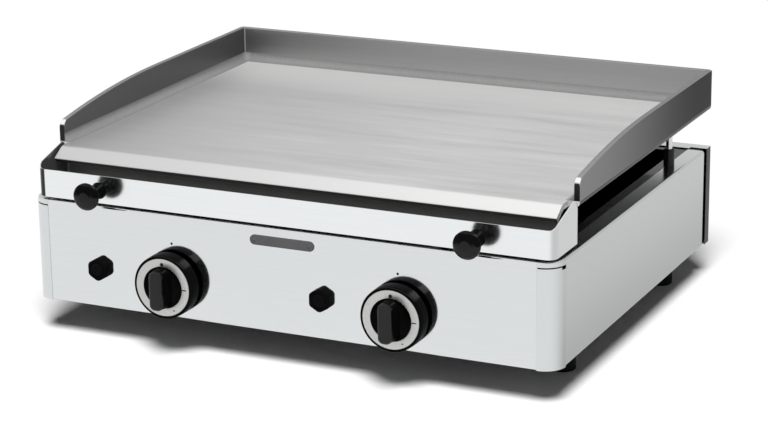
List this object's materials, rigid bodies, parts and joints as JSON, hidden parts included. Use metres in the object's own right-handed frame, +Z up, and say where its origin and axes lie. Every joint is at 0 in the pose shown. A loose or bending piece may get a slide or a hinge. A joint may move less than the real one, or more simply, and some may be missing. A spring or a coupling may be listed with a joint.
{
  "type": "gas griddle",
  "caption": "Countertop gas griddle: steel casing on feet, thick cooking plate with a splash guard, front grease drawer, burner knobs and push-button igniters.",
  "frame": {"origin": "middle of the overall box, on the table top under the feet", "axes": "+X to the right seen from the knobs, +Y from the knobs to the back, +Z up"},
  "size_m": [0.6, 0.525, 0.236],
  "materials": {
    "casing_steel": "brushed stainless sheet",
    "drawer_steel": "polished stainless sheet",
    "plate_steel": "ground cooking plate",
    "guard_steel": "satin stainless sheet",
    "pan_steel": "zinc-plated sheet",
    "screw_steel": "zinc-plated",
    "burner_steel": "stainless tube",
    "black_enamel": "matt black enamel",
    "badge_paint": "dark grey, blank",
    "dial_metal": "satin, with black dial marks",
    "gas_pipe": "drawn pipe",
    "valve_brass": "machined",
    "sensor_copper": "copper capillary",
    "electrode_ceramic": "white ceramic with a steel wire",
    "lead_rubber": "silicone insulation",
    "foot_rubber": "moulded",
    "black_plastic": "moulded, fine grain"
  },
  "bodies": {
    "casing": {"left_side_panel": "casing_steel", "right_side_panel": "casing_steel", "front_panel": "casing_steel", "rear_panel": "casing_steel", "base_pan": "pan_steel", "shelf_guides": "pan_steel", "base_screws": "screw_steel", "foot_screws": "screw_steel", "valve_screws": "screw_steel", "name_plate_rivets": "screw_steel", "front_left_foot": "foot_rubber", "front_right_foot": "foot_rubber", "rear_left_foot": "foot_rubber", "rear_right_foot": "foot_rubber", "burner_box": "black_enamel", "burner_brackets": "black_enamel", "plate_cups": "black_plastic", "name_plate": "badge_paint", "gas_manifold": "gas_pipe", "gas_inlet": "valve_brass", "pipe_clip": "black_plastic", "left_gas_valve": "valve_brass", "left_feed_pipe": "gas_pipe", "left_injector": "valve_brass", "left_burner": "burner_steel", "left_thermocouple": "sensor_copper", "left_electrode": "electrode_ceramic", "left_ignition_lead": "lead_rubber", "left_igniter_body": "black_plastic", "left_igniter_nut": "black_plastic", "right_gas_valve": "valve_brass", "right_feed_pipe": "gas_pipe", "right_injector": "valve_brass", "right_burner": "burner_steel", "right_thermocouple": "sensor_copper", "right_electrode": "electrode_ceramic", "right_ignition_lead": "lead_rubber", "right_igniter_body": "black_plastic", "right_igniter_nut": "black_plastic"},
    "drawer": {"grease_drawer": "drawer_steel", "drawer_cheeks": "drawer_steel", "drawer_runners": "black_plastic", "pull_screws": "screw_steel", "left_pull": "black_plastic", "right_pull": "black_plastic"},
    "plate": {"griddle_plate": "plate_steel", "plate_lip": "plate_steel", "splash_guard": "guard_steel", "guard_weld": "plate_steel", "plate_legs": "screw_steel"},
    "left_push": {"left_valve_plunger": "screw_steel"},
    "left_dial": {"left_knob": "black_plastic", "left_knob_ring": "dial_metal", "left_spindle": "screw_steel"},
    "left_button": {"left_igniter_button": "black_plastic"},
    "right_push": {"right_valve_plunger": "screw_steel"},
    "right_dial": {"right_knob": "black_plastic", "right_knob_ring": "dial_metal", "right_spindle": "screw_steel"},
    "right_button": {"right_igniter_button": "black_plastic"}
  },
  "joints": [
    {"name": "drawer_slide", "type": "slide", "parent": "casing", "child": "drawer", "axis": [0, -1, 0], "range_m": [0, 0.05]},
    {"name": "plate_lift", "type": "slide", "parent": "casing", "child": "plate", "axis": [0, 0, 1], "range_m": [0, 0.15]},
    {"name": "left_knob_push", "type": "slide", "parent": "casing", "child": "left_push", "axis": [0, 1, 0], "range_m": [0, 0.003], "stiffness_N_per_m": 1000, "springref_m": -0.003},
    {"name": "left_knob_turn", "type": "hinge", "parent": "left_push", "child": "left_dial", "pos_m": [-0.13, -0.2455, 0.077], "axis": [0, -1, 0], "range_deg": [0, 180]},
    {"name": "left_igniter_press", "type": "slide", "parent": "casing", "child": "left_button", "axis": [0, 1, 0], "range_m": [0, 0.005], "stiffness_N_per_m": 1200, "springref_m": -0.002},
    {"name": "right_knob_push", "type": "slide", "parent": "casing", "child": "right_push", "axis": [0, 1, 0], "range_m": [0, 0.003], "stiffness_N_per_m": 1000, "springref_m": -0.003},
    {"name": "right_knob_turn", "type": "hinge", "parent": "right_push", "child": "right_dial", "pos_m": [0.13, -0.2455, 0.077], "axis": [0, -1, 0], "range_deg": [0, 180]},
    {"name": "right_igniter_press", "type": "slide", "parent": "casing", "child": "right_button", "axis": [0, 1, 0], "range_m": [0, 0.005], "stiffness_N_per_m": 1200, "springref_m": -0.002}
  ]
}
